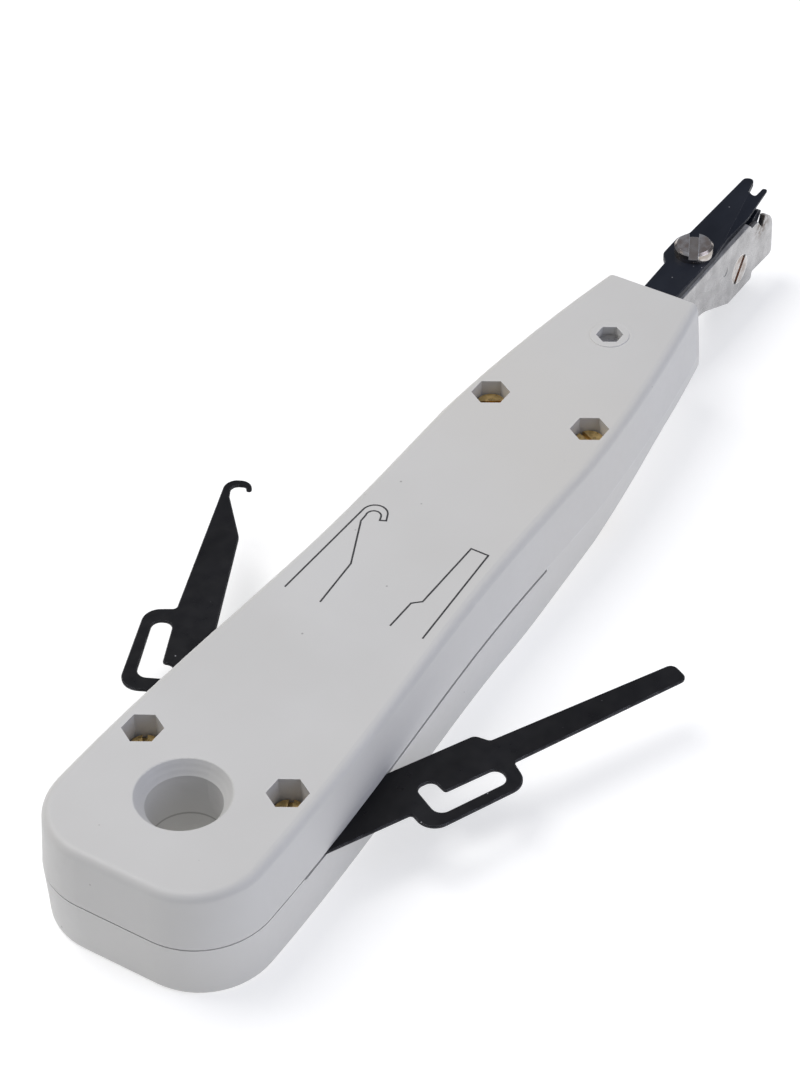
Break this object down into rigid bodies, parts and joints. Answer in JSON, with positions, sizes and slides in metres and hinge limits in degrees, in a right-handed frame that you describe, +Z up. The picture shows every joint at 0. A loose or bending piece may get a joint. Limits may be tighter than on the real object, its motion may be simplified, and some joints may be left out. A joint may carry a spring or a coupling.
{
  "type": "punch down tool",
  "caption": "Flat hand tool that presses telephone wire into slotted contacts: sprung fork and trimming scissor at the tip, fold-out wire hook and prying blade.",
  "frame": {"origin": "axis of the hang hole at the flat underside", "axes": "+X along the tool to the tip, +Z up along the hang hole, +Y to the wire hook's side"},
  "size_m": [0.1775, 0.0779, 0.0181],
  "materials": {
    "case_plastic": "fine matte moulded",
    "brass": "turned",
    "black_steel": "semi-gloss black",
    "bright_steel": "nickel plated",
    "nickel": "bright turned",
    "spring_steel": "drawn wire"
  },
  "bodies": {
    "case": {"upper_shell": "case_plastic", "lower_shell": "case_plastic", "case_screws": "brass", "case_nuts": "brass", "lever_washers": "spring_steel", "trip_bar": "bright_steel", "trip_pin": "spring_steel", "stop_pin": "bright_steel", "spring_seat": "bright_steel", "main_spring": "spring_steel"},
    "head": {"slide_channel": "bright_steel", "fork_blade": "black_steel", "fork_screw": "nickel", "scissor_screw": "nickel", "scissor_spacer": "bright_steel", "scissor_nut": "nickel", "slide_block": "bright_steel", "block_rivet": "bright_steel", "spring_rod": "bright_steel", "rod_clip": "spring_steel"},
    "scissor": {"scissor_blade": "black_steel"},
    "hook": {"hook_lever": "black_steel"},
    "blade": {"blade_lever": "black_steel"}
  },
  "joints": [
    {"name": "head_slide", "type": "slide", "parent": "case", "child": "head", "axis": [-1, 0, 0], "range_m": [0, 0.006], "stiffness_N_per_m": 1200, "springref_m": -0.006, "deforming": ["main_spring"]},
    {"name": "scissor_cut", "type": "hinge", "parent": "head", "child": "scissor", "pos_m": [0.1479, 0, 0.008], "axis": [0, 1, 0], "range_deg": [0, 15]},
    {"name": "hook_swing", "type": "hinge", "parent": "case", "child": "hook", "pos_m": [0.0071, 0.01156, 0.0087], "axis": [0, 0, 1], "range_deg": [-27, 65]},
    {"name": "blade_swing", "type": "hinge", "parent": "case", "child": "blade", "pos_m": [0.0071, -0.01156, 0.0087], "axis": [0, 0, -1], "range_deg": [-29, 63]}
  ],
  "couplings": [
    {"joint": "scissor_cut", "follows": "head_slide", "rad_per_m": 43.63}
  ]
}
